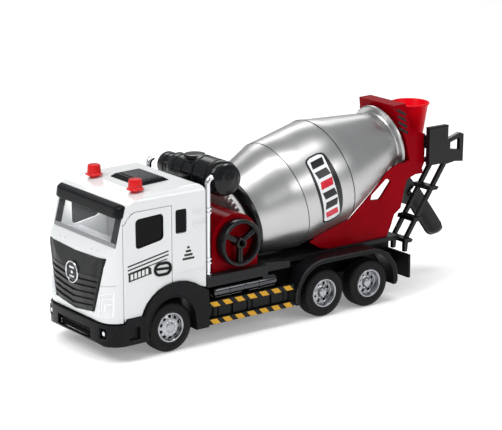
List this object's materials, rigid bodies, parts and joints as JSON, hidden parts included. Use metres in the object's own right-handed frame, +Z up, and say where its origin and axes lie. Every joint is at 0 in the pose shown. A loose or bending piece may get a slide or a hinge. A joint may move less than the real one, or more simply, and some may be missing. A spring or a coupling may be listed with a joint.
{
  "type": "toy cement mixer",
  "caption": "Toy concrete mixer truck with opening cab doors, press beacons, hand-cranked tilted drum on a crown gear, swivelling chute, hopper, ladder and free-rolling wheels.",
  "frame": {"origin": "on the ground under the middle of the truck", "axes": "+X forward, +Y the truck's left side, +Z up"},
  "size_m": [0.3165, 0.084, 0.1356],
  "materials": {
    "black_plastic": "satin moulded",
    "dark_grey_plastic": "satin moulded",
    "white_paint": "gloss",
    "grey_plastic": "satin moulded",
    "smoky_glass": "clear smoky",
    "dark_glass": "gloss",
    "grille_black": "satin moulded",
    "chrome": "polished",
    "clear_lens": "gloss",
    "board_green": "matt",
    "speaker_grey": "matt",
    "steel": "plain",
    "gloss_black": "gloss",
    "tank_silver": "satin",
    "guard_stripes": "satin, striped",
    "red_plastic": "gloss moulded",
    "bright_red_plastic": "gloss moulded",
    "beacon_red": "translucent gloss",
    "gear_white": "satin moulded",
    "drum_silver": "satin metallic",
    "tyre_rubber": "matt"
  },
  "bodies": {
    "root": {"chassis_frame": "black_plastic", "deck_cover": "dark_grey_plastic", "front_bumper": "black_plastic", "cab_shell": "white_paint", "cab_interior": "grey_plastic", "windscreen": "smoky_glass", "sun_visor": "black_plastic", "grille": "grille_black", "grille_badge": "chrome", "side_windows": "dark_glass", "lamp_lenses": "clear_lens", "roof_hatch": "black_plastic", "circuit_board": "board_green", "speaker": "speaker_grey", "battery_cells": "steel", "battery_cover": "black_plastic", "air_cleaner": "gloss_black", "exhaust_stacks": "chrome", "air_tanks": "tank_silver", "side_guards": "guard_stripes", "rear_fenders": "black_plastic", "gearbox_housing": "red_plastic", "rear_support": "red_plastic", "hopper": "bright_red_plastic", "ladder": "gloss_black", "rear_beam": "black_plastic", "assembly_screws": "steel", "spring_left": "steel", "spring_right": "steel"},
    "left_door": {"door_left": "white_paint", "door_glass_left": "dark_glass"},
    "right_door": {"door_right": "white_paint", "door_glass_right": "dark_glass"},
    "left_beacon": {"beacon_left": "beacon_red"},
    "right_beacon": {"beacon_right": "beacon_red"},
    "drum": {"crown_gear": "gear_white", "drum_cup": "gloss_black", "drum_front_cone": "drum_silver", "drum_band": "drum_silver", "drum_rear_cone": "drum_silver"},
    "crank": {"pinion": "gear_white", "crank_shaft": "steel", "hand_wheel": "gloss_black"},
    "chute": {"chute": "gloss_black"},
    "front_wheels": {"axle_front": "steel", "tyre_front_left": "tyre_rubber", "tyre_front_right": "tyre_rubber", "rim_front_left": "chrome", "rim_front_right": "chrome"},
    "middle_wheels": {"axle_middle": "steel", "tyre_middle_left": "tyre_rubber", "tyre_middle_right": "tyre_rubber", "rim_middle_left": "chrome", "rim_middle_right": "chrome"},
    "rear_wheels": {"axle_rear": "steel", "tyre_rear_left": "tyre_rubber", "tyre_rear_right": "tyre_rubber", "rim_rear_left": "chrome", "rim_rear_right": "chrome"}
  },
  "joints": [
    {"name": "left_door_hinge", "type": "hinge", "parent": "root", "child": "left_door", "pos_m": [0.1434, 0.0386, 0.06], "axis": [0, 0, -1], "range_deg": [0, 65]},
    {"name": "right_door_hinge", "type": "hinge", "parent": "root", "child": "right_door", "pos_m": [0.1434, -0.0386, 0.06], "axis": [0, 0, 1], "range_deg": [0, 65]},
    {"name": "left_beacon_press", "type": "slide", "parent": "root", "child": "left_beacon", "axis": [0, 0, -1], "range_m": [0, 0.0009], "stiffness_N_per_m": 300, "springref_m": -0.001, "deforming": ["spring_left"]},
    {"name": "right_beacon_press", "type": "slide", "parent": "root", "child": "right_beacon", "axis": [0, 0, -1], "range_m": [0, 0.0009], "stiffness_N_per_m": 300, "springref_m": -0.001, "deforming": ["spring_right"]},
    {"name": "drum_spin", "type": "hinge", "parent": "root", "child": "drum", "pos_m": [0.0685, 0, 0.06073], "axis": [-0.9636, 0, 0.2672], "continuous": true},
    {"name": "crank_spin", "type": "hinge", "parent": "root", "child": "crank", "pos_m": [0.05254, 0, 0.06516], "axis": [0, 1, 0], "continuous": true},
    {"name": "chute_swivel", "type": "hinge", "parent": "root", "child": "chute", "pos_m": [-0.1145, 0, 0.084], "axis": [0, 0, 1], "range_deg": [-30, 30]},
    {"name": "front_axle_spin", "type": "hinge", "parent": "root", "child": "front_wheels", "pos_m": [0.1085, 0, 0.017], "axis": [0, 1, 0], "continuous": true},
    {"name": "middle_axle_spin", "type": "hinge", "parent": "root", "child": "middle_wheels", "pos_m": [-0.0192, 0, 0.017], "axis": [0, 1, 0], "continuous": true},
    {"name": "rear_axle_spin", "type": "hinge", "parent": "root", "child": "rear_wheels", "pos_m": [-0.0587, 0, 0.017], "axis": [0, 1, 0], "continuous": true}
  ],
  "couplings": [
    {"joint": "crank_spin", "follows": "drum_spin", "ratio": -1.3929}
  ]
}
